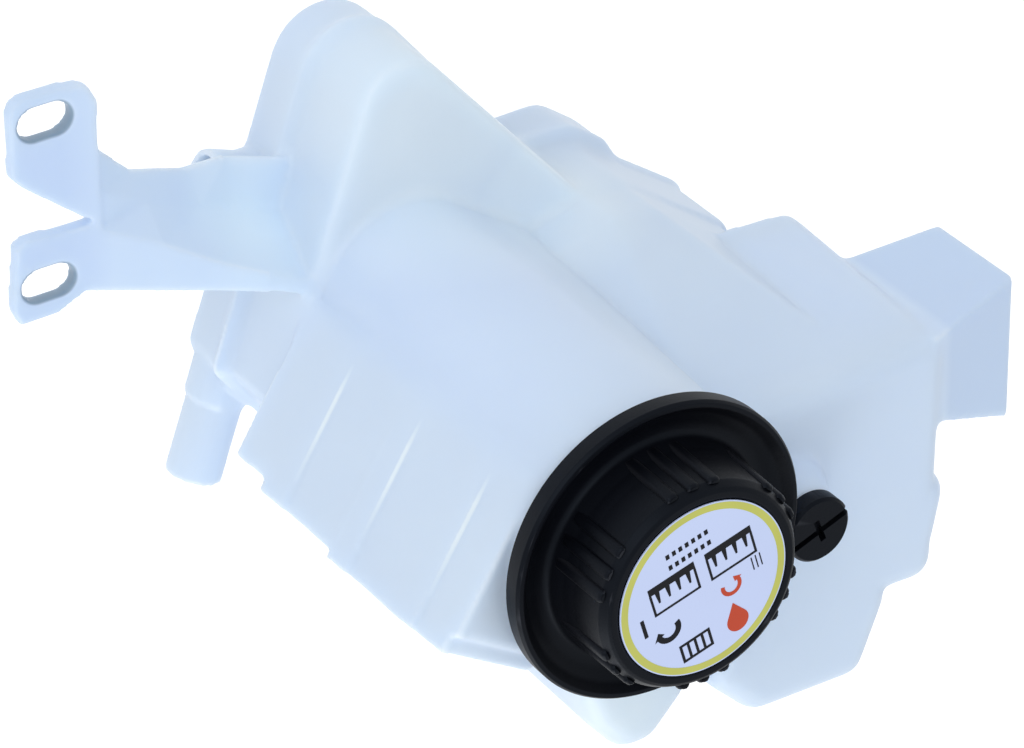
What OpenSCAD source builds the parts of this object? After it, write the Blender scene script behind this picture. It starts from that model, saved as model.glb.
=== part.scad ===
// Coolant expansion tank with screw cap, drawn the way it hangs in the car: cap up along Z.
// The shapes are drawn about the filler neck: its axis is the Z axis, Z = 0 is the middle plane of
// the cap skirt, X points at the fork bracket and the deep lobe lies on the side of minus Y.
// hung() then moves every node so that the origin is the middle of the fork bracket's seat.

/* [Shell] */
// Wall of both shells
wall = 2.6; // [2.2:0.1:3]
// Radius of the filler column at its top
column_r = 38.5; // [37.5:0.5:39.5]
// Radius of the filler column at its foot
column_foot_r = 44; // [43.5:0.5:44.5]
// Height of the deck below the skirt plane
deck_drop = 22; // [20:0.5:24]
// Rounding of the deck edges
deck_round = 7; // [6:0.5:8]
// Height of the shoulder below the skirt plane
shoulder_drop = 107; // [106:0.5:108]
// Height of the weld seam below the skirt plane
seam_drop = 134; // [133:0.5:136]
// Depth of the lower shell under the seam
pan_depth = 19; // [18:0.5:20]
// How far the weld rim stands out
rim_out = 1.2; // [0.8:0.1:1.6]

/* [Neck] */
// Outer radius of the neck under its thread
neck_r = 26.4; // [26:0.1:26.8]
// Radius of the neck bore
neck_bore_r = 21; // [20.8:0.1:21.4]
// Height of the neck over the column top
neck_h = 20; // [19:0.5:21]

/* [Hose spigots] */
// Outer radius of both spigots
spigot_r = 8; // [7.6:0.1:8.3]
// Bore radius of both spigots
spigot_bore_r = 6; // [5.5:0.1:6.2]
// Visible length of the long spigot
outlet_len = 42; // [38:1:46]
// Visible length of the short spigot
return_len = 15; // [14:0.5:18]

/* [Bracket] */
// Thickness of the fork tabs
tab_t = 4.5; // [4:0.1:5]
// Length of a slot over its round ends
slot_len = 15; // [14:0.5:16]
// Width of a slot
slot_w = 9; // [8:0.5:10]
// Distance between the two slots
slot_pitch = 46; // [45:0.5:47]

/* [Side arm] */
// Thickness of the side arm
arm_t = 3; // [2.6:0.1:3.4]
// Reach of the side arm from the deck wall
arm_reach = 35; // [33:0.5:37]

/* [Cap] */
// Radius of the cap skirt
skirt_r = 43.3; // [42.5:0.1:44]
// Height of the skirt band
skirt_band = 6; // [5:0.5:7]
// Radius of the grip between its ribs
grip_r = 30.2; // [29.8:0.1:30.6]
// Height of the cap top over the skirt plane
cap_top = 22.4; // [22:0.1:23]
// How far the grip ribs stand out
grip_rib = 1.5; // [1:0.1:1.8]
// Wall of the cap
cap_wall = 2.6; // [2.4:0.1:2.8]
// Radius of the printed disc
label_r = 25.2; // [24.6:0.1:25.4]
// Thickness of the printed disc
label_t = 0.4; // [0.3:0.1:0.6]

/* [Valve] */
// Radius of the pressure valve's plate
plunger_r = 13.6; // [13.2:0.1:13.8]
// Radius of the hole in its seat
seat_hole_r = 9; // [8.6:0.1:9.4]
// Length of the vacuum valve's stem
stem_len = 16; // [15:0.25:17]

/* [Plug] */
// Radius of the plug head
plug_r = 9.7; // [9.4:0.1:10]
// Height of the plug head
plug_h = 5.4; // [5:0.1:6]
// Radius of the plug shank
shank_r = 6; // [5.6:0.1:6.2]
// Width of the cross slot
cross_w = 1.8; // [1.5:0.1:2.2]
// Depth of the cross slot
cross_depth = 2.4; // [2:0.1:2.8]

/* [Hidden] */
gap = 0.3;
slip = 0.06;
cut = 0.5;
hull_fn = 32;
fine_fn = 96;

column_top = -6;
deck_top = -deck_drop;
deck_floor = -91;
shoulder = -shoulder_drop;
seam = -seam_drop;
pan_floor = seam - pan_depth;
rim_h = 1.6;
pan_edge = 3;

wall_turn = -33.1;
wall_foot_x = 48.6;
wall_head_x = 39.6;
wall_head = column_top - 2;
wall_from = -8;
wall_back = 8;
ledge = 1;
ledge_z = [-83, -52.5, -23];
// End of the flat wall at each of its three shingles: reach along the wall, low and high edge.
shingles = [[39.6, -107, -8], [43.2, -93.5, -10.5], [45.4, -60.5, -10.5]];

side_turn = -21.2;
side_face = 50;

spigot_lift = 0.4;
spigot_z = pan_floor + spigot_lift + spigot_r;
outlet_tip = [57.3, 35.6];
outlet_root = 24;
spigot_root = 10;
// Length of plain wall that a hose covers, and the thicker root behind it.
outlet_grip = 24;
return_grip = 12;
outlet_stop = 17;
return_stop = 10;
stop_out = 0.9;
stop_flat = 0.35;
return_tip_y = -35;

plug_pos = [-55.8, 19.4];
plug_face = -4.8;
boss_top = plug_face - plug_h;
plug_bore_r = shank_r + slip;
shank_len = 11;
oring_t = 1.1;
oring_z = boss_top - 4.2;

insert_r = neck_bore_r - 1;
insert_wall = 2.4;
insert_flange_r = neck_r - 1.4;
inner_ceiling = cap_top - label_t - cap_wall;
flange_top = inner_ceiling - gap;
flange_base = column_top + neck_h + gap;
insert_floor = -12;
seat_h = 2;
insert_groove_r = insert_r - 1.2;
groove_z = -4.3;
groove_half = 1.7;
plunger_hub_r = 5.6;
stem_r = 1.7;
stem_head_r = 4.2;
stem_head_drop = 0.2;
washer_r = 4.4;
washer_t = 1;
cover_top = flange_base;
cover_h = 2;
cover_hole_r = 2;
cover_hole_at = 11;
vent_w = 4;
vent_z = 4;
valve_seal_t = 1.2;
bleed_r = 1;
bleed_at = 3.6;

COLOR_TANK = [0.88, 0.92, 0.97];
COLOR_DARK = [0.1, 0.1, 0.12];
COLOR_RUBBER = [0.16, 0.16, 0.16];
COLOR_STEEL = [0.7, 0.71, 0.72];
COLOR_BRASS = [0.75, 0.62, 0.32];
COLOR_LABEL = [0.82, 0.84, 0.95];

// Plan of the body between the seam and the shoulder: tip of the deep lobe first, counterclockwise.
body_plan = [[9.6, -106.8], [50.2, -2], [34, 24], [-18, 62], [-76, 52], [-99, -9.7], [-62, -36.5], [-48, -38]];
body_round = [13, 4, 8, 12, 14, 7, 9, 6];
// The lower shell follows nearly the same plan but stops short under the deck.
pan_plan = [[10.4, -111.5], [52.8, -2], [34, 24], [-10, 50], [-60, 46], [-76, 20], [-76, -31], [-62, -41.5], [-43, -41]];
pan_round = [16.4, 5, 8, 12, 12, 10, 9, 9, 6];

function unit(v) = v / norm(v);
function left(v) = [-v[1], v[0]];
function ring_at(list, i) = list[(i + len(list)) % len(list)];
// Moves every side of a counterclockwise outline inwards by d.
function inset(p, d) = [for (i = [0:len(p) - 1])
    let (n1 = left(unit(p[i] - ring_at(p, i - 1))), n2 = left(unit(ring_at(p, i + 1) - p[i])))
    p[i] + (n1 + n2) * d / (1 + n1 * n2)];
function turn_of(a) = a > 180 ? a - 360 : a < -180 ? a + 360 : a;
// Arc points that round the corner b between a and c with radius r.
function corner(a, b, c, r, n = 8) =
    let (u = unit(a - b), w = unit(c - b), half = acos(u * w) / 2, m = b + unit(u + w) * r / sin(half),
        s = b + u * r / tan(half) - m, e = b + w * r / tan(half) - m,
        from = atan2(s[1], s[0]), turn = turn_of(atan2(e[1], e[0]) - from))
    [for (i = [0:n]) m + r * [cos(from + turn * i / n), sin(from + turn * i / n)]];
function soft(p, r) = [for (i = [0:len(p) - 1]) each corner(ring_at(p, i - 1), p[i], ring_at(p, i + 1), r[i])];

module disc(at, r, z, h, f = hull_fn) translate([at[0], at[1], z]) cylinder(r = r, h = h, $fn = f);
module ball(at, r, z) translate([at[0], at[1], z]) sphere(r = r, $fn = hull_fn);
module slab(points, z, h) translate([0, 0, z]) linear_extrude(height = h) polygon(points);

// Upper shell

// Stepped profile of the flat wall, outer face at x, extruded along the wall.
module flat_wall_body(skin) {
    lean = (wall_foot_x - wall_head_x) / (wall_head - shoulder);
    function face(z) = wall_head_x + (wall_head - z) * lean - skin;
    for (part = shingles) {
        low = part[1] + skin;
        high = part[2] - skin;
        steps = [for (z = ledge_z) if (z > part[1] + 2) each [[face(z) + ledge, z - skin], [face(z), z - skin]]];
        outline = concat([[wall_back, low], [face(low) + ledge, low]], steps, [[face(high), high], [wall_back, high]]);
        rotate([0, 0, wall_turn]) translate([0, part[0] - skin, 0]) rotate([90, 0, 0])
            linear_extrude(height = part[0] - wall_from - 2 * skin) polygon(outline);
    }
}

// Round column under the cap, flaring towards the deep lobe at its foot.
flare_at = [9, -29];
flare_r = 25.2;
column_foot = shoulder - 0.6;
// The hollow's ceiling is a little narrower than its cone and laps into it.
ceiling_step = 1;
ceiling_lap = 4;
module column_body() {
    hull() {
        disc([0, 0], column_r, column_top - 1, 1, fine_fn);
        disc([0, 0], column_foot_r, column_foot, 1, fine_fn);
        disc(flare_at, flare_r, column_foot, 1, fine_fn);
    }
    flat_wall_body(0);
}

module column_hollow() {
    low = shoulder - wall - cut;
    translate([0, 0, low]) cylinder(r1 = column_foot_r - wall, r2 = column_r - wall, h = wall_head - low, $fn = fine_fn);
    disc([0, 0], column_r - wall - ceiling_step, wall_head - ceiling_lap, column_top - wall - wall_head + ceiling_lap, fine_fn);
    flat_wall_body(wall);
}

// The deck chamber is four blocks with soft upper edges, each given by its corners counterclockwise.
// Its near wall leans outwards to a longer foot.
deck_end_x = -111.5;
deck_main = [[deck_end_x, -13.5], [-52, -11], [-28, 4], [-26, 62], [deck_end_x + 2.5, 66]];
deck_main_foot = [[deck_end_x, -13.5], [deck_end_x + 6.5, -20.5], [-85, -22], [-52, -12], [-28, 4], [-26, 62],
    [deck_end_x + 2.5, 66]];
deck_side = [[-96, 33], [-96, 55], [-107.5, 62.5], [-114.8, 30.5]];
deck_back = [[-95, 40], [-34, 40], [-35, 75], [-48.5, 89], [-84.5, 90], [-93.5, 68]];
deck_lobe = [[-30, 30], [16, 30], [4, 72], [-5, 83.5], [-15, 83.5], [-27, 71]];
soft_drop = 1.5;
module deck_block(head, foot) hull() {
    for (p = inset(head, deck_round)) ball(p, deck_round, deck_top - deck_round);
    for (p = inset(foot, deck_round)) disc(p, deck_round, deck_floor, 1);
}
module deck_hollow(head, low, high) slab(soft(inset(head, wall), [for (p = head) deck_round - wall]), low, high - low);
module deck_body() {
    deck_block(deck_main, deck_main_foot);
    for (p = [deck_side, deck_back, deck_lobe]) deck_block(p, p);
}
module deck_inside() {
    low = deck_floor + wall;
    high = deck_top - wall - soft_drop;
    for (p = [deck_main, deck_back, deck_lobe]) deck_hollow(p, low, high);
    deck_hollow(deck_main_foot, low, deck_floor + 2.5 * wall);
}

// Slope that falls from the deck to the top of the body wall.
slope_foot = -93;
foot_plan = [[-24, -30], [-20, 20], [-84, 20], [-94, -11.5], [-62, -35.5], [-48, -37.5]];
head_plan = [[-26, 14], [-92, 14], [-92, -6], [-56, -3], [-34, -10]];
// Hidden riser between the body and the floor of the deck chamber.
riser_plan = [[-20, 12], [-22, 56], [-74, 46], [-80, 12]];
module deck_slope(skin) {
    low = shoulder - wall - (skin > 0 ? cut : 0);
    hull() {
        slab(inset(foot_plan, skin), slope_foot, 1);
        slab(inset(head_plan, skin), deck_top - skin - 2, 1);
    }
    slab(inset(foot_plan, skin), low, slope_foot - low + 1);
    slab(inset(riser_plan, skin), low, deck_floor + 2 * wall - low);
}

module body_block(skin, low) {
    slab(soft(inset(body_plan, skin), body_round), low, shoulder - skin - low);
}

module neck_and_boss() {
    disc([0, 0], neck_r, column_top - wall, wall + neck_h, fine_fn);
    translate([plug_pos[0], plug_pos[1], deck_top - wall])
        cylinder(r1 = 15, r2 = plug_r - 0.8, h = boss_top - deck_top + wall, $fn = 64);
}

// Fork bracket: two flat tabs, an edge strip, and a web that sinks to the weld seam.
tab_top = shoulder;
slot_a = [109.5, -110.2];
slot_skew = 3;
slot_b = slot_a + [slot_skew, slot_pitch];
// Outlines of the tabs, each about the middle of its own slot.
tab_a = [[10.2, 13.7], [7.5, 16.9], [-8.5, 30.6], [-12.5, 33.2], [-13.5, 26.2], [-13.9, 14.4], [-14.9, -1.3],
    [-12.7, -6], [-9.8, -7.4], [4.1, -8.2], [7.9, -7.2], [9.5, -4.3]];
tab_b = [[-16.5, -15.8], [-13.5, -12.8], [4.9, -14.1], [7.9, -12.4], [10.4, 5.2], [8.7, 9.9], [-2, 9.6],
    [-11, 5.6], [-15.5, 7.2]];
hang = [(slot_a[0] + slot_b[0]) / 2, (slot_a[1] + slot_b[1]) / 2, tab_top - tab_t];
module hung() translate(-hang) children();

arm_rows = [
    [[102, -58.8, 0], [98, -75, 0], [97, -86, 0], [95.7, -98.6, 0]],
    [[81, -51.5, 0], [79.2, -64.4, 0], [80, -74, -7], [83, -84, -9]],
    [[60, -44.2, 0], [62.3, -52.8, 0], [60, -62, -16], [62.5, -73, -19]],
    [[48, -39.5, 0], [48, -44.8, 0], [46, -55, -21.5], [47, -70.5, -22.6]],
    [[36, -34, 0], [34, -36, 0], [32, -48, -23.2], [28, -63.5, -23.2]]];
arm_skin = [0.6, 2, -3.4];

// A bent sheet between two copies of a grid of points.
module sheet(rows, shift) {
    n = len(rows);
    m = len(rows[0]);
    all = concat([for (r = rows) each r], [for (r = rows) for (p = r) p + shift]);
    function id(i, j, s) = s * n * m + i * m + j;
    top = [for (i = [0:n - 2]) for (j = [0:m - 2]) each [
        [id(i, j, 0), id(i + 1, j, 0), id(i + 1, j + 1, 0)], [id(i, j, 0), id(i + 1, j + 1, 0), id(i, j + 1, 0)]]];
    under = [for (i = [0:n - 2]) for (j = [0:m - 2]) each [
        [id(i, j, 1), id(i + 1, j + 1, 1), id(i + 1, j, 1)], [id(i, j, 1), id(i, j + 1, 1), id(i + 1, j + 1, 1)]]];
    long = [for (i = [0:n - 2]) each [
        [id(i, 0, 0), id(i, 0, 1), id(i + 1, 0, 1)], [id(i, 0, 0), id(i + 1, 0, 1), id(i + 1, 0, 0)],
        [id(i, m - 1, 0), id(i + 1, m - 1, 1), id(i, m - 1, 1)], [id(i, m - 1, 0), id(i + 1, m - 1, 0), id(i + 1, m - 1, 1)]]];
    ends = [for (j = [0:m - 2]) each [
        [id(0, j, 0), id(0, j + 1, 1), id(0, j, 1)], [id(0, j, 0), id(0, j + 1, 0), id(0, j + 1, 1)],
        [id(n - 1, j, 0), id(n - 1, j, 1), id(n - 1, j + 1, 1)], [id(n - 1, j, 0), id(n - 1, j + 1, 1), id(n - 1, j + 1, 0)]]];
    polyhedron(points = all, faces = [for (f = concat(top, under, long, ends)) [f[2], f[1], f[0]]]);
}

module slot(at) {
    reach = slot_len / 2 - slot_w / 2;
    for (s = [-1, 1]) disc([at[0] + s * reach, at[1]], slot_w / 2, tab_top - tab_t - cut, tab_t + 2 * cut, 48);
    translate([at[0] - reach, at[1] - slot_w / 2, tab_top - tab_t - cut]) cube([2 * reach, slot_w, tab_t + 2 * cut]);
}

module fork_bracket() {
    difference() {
        union() {
            slab([for (p = tab_a) slot_a + p], tab_top - tab_t, tab_t);
            slab([for (p = tab_b) slot_b + p], tab_top - tab_t, tab_t);
            translate([0, 0, tab_top]) sheet(arm_rows, arm_skin);
        }
        slot(slot_a);
        slot(slot_b);
    }
}

// Side arm: a sloping top plate and a side plate under its edge.
arm_root_x = deck_end_x + 2.5;
arm_root_top = -24;
arm_fall = 20.5;
arm_foot = -72;
arm_y = -12.5;
module side_arm() {
    len_top = arm_reach / cos(arm_fall);
    translate([arm_root_x, arm_y, arm_root_top]) rotate([0, -arm_fall, 0]) translate([0, 0, -arm_t])
        linear_extrude(height = arm_t) polygon([[2, 0], [2, 29], [0, 28], [-len_top, 46], [-len_top, 0]]);
    translate([arm_root_x, arm_y + arm_t, 0]) rotate([90, 0, 0]) linear_extrude(height = arm_t)
        polygon([[2, arm_foot], [2, arm_root_top - 1], [0, arm_root_top - 1],
            [-arm_reach, arm_root_top - 1 - arm_reach * tan(arm_fall)], [-arm_reach, arm_foot]]);
}

module upper_shell() color(COLOR_TANK) hung() difference() {
    union() {
        column_body();
        body_block(0, seam);
        slab(soft(inset(body_plan, -rim_out), body_round), seam, rim_h);
        deck_slope(0);
        deck_body();
        neck_and_boss();
        fork_bracket();
        side_arm();
    }
    column_hollow();
    body_block(wall, seam - cut);
    deck_slope(wall);
    deck_inside();
    disc([0, 0], neck_bore_r, column_top - wall - cut, wall + neck_h + 2 * cut, fine_fn);
    disc(plug_pos, plug_bore_r, deck_top - wall - soft_drop - cut, boss_top - deck_top + wall + soft_drop + 2 * cut, 64);
}

// Lower shell

// Solid between copies of one outline at rising heights, each copy given as [inset, height]; mid sees every corner.
module loft(plan, round, steps, mid) {
    rings = [for (s = steps) [for (p = soft(inset(plan, s[0]), round)) [p[0], p[1], s[1]]]];
    n = len(rings[0]);
    m = len(steps) - 1;
    ends = [for (k = [0, m]) [mid[0], mid[1], steps[k][1]]];
    low_mid = (m + 1) * n;
    sides = [for (k = [0:m - 1]) for (i = [0:n - 1]) let (a = k * n + i, b = k * n + (i + 1) % n) each [
        [a, a + n, b + n], [a, b + n, b]]];
    caps = [for (i = [0:n - 1]) let (j = (i + 1) % n) each [[i, j, low_mid], [m * n + j, m * n + i, low_mid + 1]]];
    polyhedron(points = concat([for (r = rings) each r], ends), faces = concat(sides, caps));
}

pan_mid = [0, -25];
pan_curve = [[pan_edge, 0], [1.6, 0.4], [0.5, 1.4], [0, pan_edge], [0, 2 * pan_edge]];
module pan_block() {
    loft(pan_plan, pan_round, [for (s = pan_curve) [s[0], pan_floor + s[1]]], pan_mid);
    slab(soft(pan_plan, pan_round), pan_floor + 1.5 * pan_edge, seam - pan_floor - 1.5 * pan_edge);
}

module pan_hollow() {
    for (s = [[wall, pan_edge], [wall + 1, wall]])
        slab(soft(inset(pan_plan, s[0]), pan_round), pan_floor + s[1], seam - pan_floor - s[1] + cut);
}

module tube(from, turn, len, r) translate([from[0], from[1], spigot_z]) rotate([0, 90, turn]) cylinder(r = r, h = len, $fn = 64);

side_n = [cos(side_turn), sin(side_turn)];
side_b = [-sin(side_turn), cos(side_turn)];
outlet_start = outlet_tip - side_b * (outlet_len + outlet_root);
return_tip = side_n * (side_face + return_len) + side_b * return_tip_y;
return_start = return_tip - side_n * (return_len + spigot_root);
// Thicker root of a spigot, where the hose ends, with flats above and below.
module hose_stop(from, turn, len) intersection() {
    tube(from, turn, len, spigot_r + stop_out);
    translate([from[0], from[1], spigot_z]) rotate([0, 90, turn]) translate([-spigot_r - stop_flat, -2 * spigot_r, -cut])
        cube([2 * (spigot_r + stop_flat), 4 * spigot_r, len + 2 * cut]);
}

module lower_shell() color(COLOR_TANK) hung() difference() {
    union() {
        pan_block();
        slab(soft(inset(body_plan, -rim_out), body_round), seam - rim_h, rim_h);
        slab(soft(inset(body_plan, cut), body_round), seam - wall, wall);
        slab(soft(inset(pan_plan, -rim_out), pan_round), seam - rim_h, rim_h);
        tube(outlet_start, side_turn + 90, outlet_len + outlet_root, spigot_r);
        tube(return_start, side_turn, return_len + spigot_root, spigot_r);
        hose_stop(outlet_tip - side_b * (outlet_grip + outlet_stop), side_turn + 90, outlet_stop);
        hose_stop(return_tip - side_n * (return_grip + return_stop), side_turn, return_stop);
    }
    pan_hollow();
    tube(outlet_start, side_turn + 90, outlet_len + outlet_root + cut, spigot_bore_r);
    tube(return_start, side_turn, return_len + spigot_root + cut, spigot_bore_r);
}

// Cap

module cap_profile() {
    half = skirt_band / 2;
    under = inner_ceiling;
    bore = neck_r + 1.6;
    polygon([[0, under], [bore, under], [bore, -half], [skirt_r - cap_wall, -half - 1], [skirt_r - 0.6, -half],
        [skirt_r, -half + 0.6], [skirt_r, half - 0.8], [skirt_r - 0.7, half], [skirt_r - 1.9, half],
        [skirt_r - 3.4, half - 1.6], [skirt_r - 6, half - 2.4], [grip_r + 3, half - 1], [grip_r + 0.8, half + 2.4],
        [grip_r, half + 5], [grip_r - 0.2, cap_top - 2.4], [grip_r - 2.4, cap_top - 0.2], [label_r + gap, cap_top - 0.2],
        [label_r + gap, cap_top - label_t], [0, cap_top - label_t]]);
}

rib_groups = 6;
rib_turn = -27;
rib_step = 12;
module grip_ribs() {
    for (g = [0:rib_groups - 1]) for (k = [-1:1])
        rotate([0, 0, rib_turn + g * 360 / rib_groups + k * rib_step])
            translate([grip_r - 1.6, 0, skirt_band / 2 + 0.5]) {
                translate([0, -1.5, 0]) cube([1.6 + grip_rib, 3, cap_top - skirt_band / 2 - 3.2]);
            }
}

module cap_shell() color(COLOR_DARK) hung() {
    rotate_extrude($fn = fine_fn) cap_profile();
    grip_ribs();
}

module cap_label() color(COLOR_LABEL) hung() disc([0, 0], label_r, cap_top - label_t, label_t, fine_fn);

// Valve inside the cap

module valve_housing() color(COLOR_DARK) hung() difference() {
    rotate_extrude($fn = fine_fn) polygon([[seat_hole_r, insert_floor], [insert_r - 1, insert_floor], [insert_r, insert_floor + 1],
        [insert_r, groove_z - groove_half], [insert_groove_r, groove_z - groove_half],
        [insert_groove_r, groove_z + groove_half], [insert_r, groove_z + groove_half], [insert_r, flange_base],
        [insert_flange_r, flange_base], [insert_flange_r, flange_top], [insert_r - insert_wall, flange_top],
        [insert_r - insert_wall, insert_floor + seat_h], [seat_hole_r, insert_floor + seat_h]]);
    for (a = [0:120:240]) rotate([0, 0, a]) translate([insert_r - insert_wall - cut, -vent_w / 2, vent_z])
        cube([insert_wall + 2 * cut, vent_w, vent_w]);
}

seal_r = (neck_bore_r - gap - insert_groove_r) / 2;
module housing_seal() color(COLOR_RUBBER) hung() rotate_extrude($fn = fine_fn)
    translate([insert_groove_r + seal_r, groove_z]) circle(r = seal_r, $fn = 24);

module housing_cover() color(COLOR_DARK) hung() difference() {
    disc([0, 0], insert_r - insert_wall - slip, cover_top - cover_h, cover_h, fine_fn);
    for (a = [30:60:330]) rotate([0, 0, a]) translate([cover_hole_at, 0, cover_top - cover_h - cut])
        cylinder(r = cover_hole_r, h = cover_h + 2 * cut, $fn = 32);
}

plunger_z = insert_floor + seat_h + gap + valve_seal_t;
plunger_plate = 2;
hub_h = 4;
module pressure_plunger() color(COLOR_DARK) hung() difference() {
    union() {
        disc([0, 0], plunger_r, plunger_z, plunger_plate, fine_fn);
        disc([0, 0], plunger_hub_r, plunger_z + plunger_plate, hub_h, 64);
    }
    disc([0, 0], stem_r + slip, plunger_z - cut, plunger_plate + hub_h + 2 * cut, 48);
    for (a = [0:90:270]) rotate([0, 0, a]) translate([bleed_at, 0, plunger_z - cut])
        cylinder(r = bleed_r, h = plunger_plate + hub_h + 2 * cut, $fn = 24);
}

module pressure_seal() color(COLOR_RUBBER) hung() difference() {
    disc([0, 0], plunger_r, plunger_z - valve_seal_t, valve_seal_t, fine_fn);
    disc([0, 0], seat_hole_r - 2.6, plunger_z - valve_seal_t - cut, valve_seal_t + 2 * cut, 64);
}

// Helical spring: a round wire swept up a helix as one mesh.
coil_step = 20;
wire_n = 8;
module coil(r, wire, z, h, turns) {
    n = turns * 360 / coil_step;
    points = [for (i = [0:n]) let (a = i * coil_step, rise = z + wire + (h - 2 * wire) * i / n)
        for (k = [0:wire_n - 1]) let (b = k * 360 / wire_n, q = r + wire * cos(b))
            [q * cos(a), q * sin(a), rise + wire * sin(b)]];
    sides = [for (i = [0:n - 1]) for (k = [0:wire_n - 1]) let (a = i * wire_n + k, b = i * wire_n + (k + 1) % wire_n)
        each [[a, b + wire_n, b], [a, a + wire_n, b + wire_n]]];
    polyhedron(points = points,
        faces = concat([[for (k = [0:wire_n - 1]) k]], sides, [[for (k = [wire_n - 1:-1:0]) n * wire_n + k]]));
}

spring_r = 9.5;
spring_wire = 0.9;
small_spring_r = 3.4;
small_spring_wire = 0.45;
spring_turns = 5;
spring_low = plunger_z + plunger_plate;
module pressure_spring() color(COLOR_STEEL) hung()
    coil(spring_r, spring_wire, spring_low, cover_top - cover_h - spring_low, spring_turns);

stem_low = plunger_z - gap - valve_seal_t;
module vacuum_stem() color(COLOR_BRASS) hung() {
    disc([0, 0], stem_head_r, stem_low - stem_head_drop, 1 + stem_head_drop, 48);
    disc([0, 0], stem_r, stem_low, stem_len, 48);
}

vacuum_top = stem_low + stem_len;
module vacuum_washer() color(COLOR_STEEL) hung() disc([0, 0], washer_r, vacuum_top, washer_t, 48);

module vacuum_spring() color(COLOR_STEEL) hung()
    coil(small_spring_r, small_spring_wire, spring_low + hub_h, vacuum_top - spring_low - hub_h, spring_turns);

// Plug

cross_turn = 20;
cross_reach = 3.6;
module plug_body() color(COLOR_DARK) hung() translate([plug_pos[0], plug_pos[1], 0]) difference() {
    union() {
        translate([0, 0, boss_top + gap]) cylinder(r = plug_r, h = plug_h - gap - 0.8, $fn = fine_fn);
        translate([0, 0, plug_face - 0.8]) cylinder(r1 = plug_r, r2 = plug_r - 0.8, h = 0.8, $fn = fine_fn);
        translate([0, 0, boss_top - shank_len]) cylinder(r = shank_r, h = shank_len + 1, $fn = 64);
    }
    rotate([0, 0, cross_turn]) for (s = [[plug_r + cut, cross_w / 2], [cross_w / 2, cross_reach]])
        translate([-s[0], -s[1], plug_face - cross_depth]) cube([2 * s[0], 2 * s[1], cross_depth + cut]);
    translate([0, 0, oring_z - oring_t - slip]) difference() {
        cylinder(r = shank_r + cut, h = 2 * (oring_t + slip), $fn = 64);
        cylinder(r = shank_r - 2 * oring_t - slip, h = 2 * (oring_t + slip), $fn = 64);
    }
}

module plug_seal() color(COLOR_RUBBER) hung() translate([plug_pos[0], plug_pos[1], oring_z])
    rotate_extrude($fn = 64) translate([shank_r - oring_t, 0]) circle(r = oring_t, $fn = 24);

upper_shell();
lower_shell();
cap_shell();
cap_label();
valve_housing();
housing_seal();
housing_cover();
pressure_plunger();
pressure_seal();
pressure_spring();
vacuum_stem();
vacuum_washer();
vacuum_spring();
plug_body();
plug_seal();
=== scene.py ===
"""Looks of a coolant expansion tank: moulded tank, screw cap, printed disc, vent plug, stage and camera."""
import math

import bmesh
import bpy
from mathutils import Matrix, Vector


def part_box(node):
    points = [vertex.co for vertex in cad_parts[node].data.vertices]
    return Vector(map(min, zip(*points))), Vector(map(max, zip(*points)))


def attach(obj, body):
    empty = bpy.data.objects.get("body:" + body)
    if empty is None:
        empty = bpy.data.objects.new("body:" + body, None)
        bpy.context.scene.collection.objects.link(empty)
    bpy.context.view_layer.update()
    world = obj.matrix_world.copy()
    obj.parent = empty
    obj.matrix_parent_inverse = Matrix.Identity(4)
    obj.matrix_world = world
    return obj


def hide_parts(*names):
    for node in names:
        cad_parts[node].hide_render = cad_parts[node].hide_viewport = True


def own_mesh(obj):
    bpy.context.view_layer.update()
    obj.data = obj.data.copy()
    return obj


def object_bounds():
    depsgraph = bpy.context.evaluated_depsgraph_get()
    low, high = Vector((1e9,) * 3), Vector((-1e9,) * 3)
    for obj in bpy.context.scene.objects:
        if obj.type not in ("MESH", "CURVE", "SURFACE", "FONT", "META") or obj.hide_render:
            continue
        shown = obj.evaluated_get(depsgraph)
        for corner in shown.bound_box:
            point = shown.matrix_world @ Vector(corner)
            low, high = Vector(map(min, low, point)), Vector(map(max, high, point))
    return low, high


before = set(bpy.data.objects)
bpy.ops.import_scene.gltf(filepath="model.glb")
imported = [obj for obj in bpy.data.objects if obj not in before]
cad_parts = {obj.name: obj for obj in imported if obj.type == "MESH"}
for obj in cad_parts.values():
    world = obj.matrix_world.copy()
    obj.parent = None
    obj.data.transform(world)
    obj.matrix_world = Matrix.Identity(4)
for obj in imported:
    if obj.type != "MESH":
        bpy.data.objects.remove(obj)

bl_info = {
    "name": "Coolant expansion tank looks",
    "version": (1, 0, 0),
    "blender": (4, 5, 0),
    "location": "3D View > Sidebar > Tank",
    "description": "Dresses the packed coolant expansion tank: moulded shells, cap, vent plug and stage",
    "category": "Object",
}

MM = 0.001
CAP_LOW, CAP_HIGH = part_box("cap_shell")
LABEL_LOW, LABEL_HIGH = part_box("cap_label")
TANK_LOW, TANK_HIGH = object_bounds()

# The neck's axis stands upright at this place. Heights of the cap count from the middle of its skirt, which
# lies this far under the printed disc, in millimetres.
DISC_RISE = 22.4
NECK = Vector(((CAP_LOW.x + CAP_HIGH.x) / 2, (CAP_LOW.y + CAP_HIGH.y) / 2, 0))
SKIRT_Z = LABEL_HIGH.z - DISC_RISE * MM
SKIRT_R = (CAP_HIGH.x - CAP_LOW.x) / 2

# Camera of the photograph's view, with its lens and sensor in millimetres.
CAMERA_AT = Vector((0.4123, -0.5686, 0.9001))
CAMERA_RIGHT = Vector((-0.8445, 0.0247, 0.535))
CAMERA_UP = Vector((-0.305, -0.8431, -0.4427))
CAMERA_BACK = Vector((0.44, -0.537, 0.7197))
LENS = 158.2
SENSOR = 36.0

# The bracket lies beyond the first x and under the first height. The lobes' shelf lies between the two
# heights and under this y.
BRACKET_START = -0.062
BRACKET_TOP = 0.006
SHELF_Z = (-0.03, 0.0065)
SHELF_END = 0.06

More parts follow.
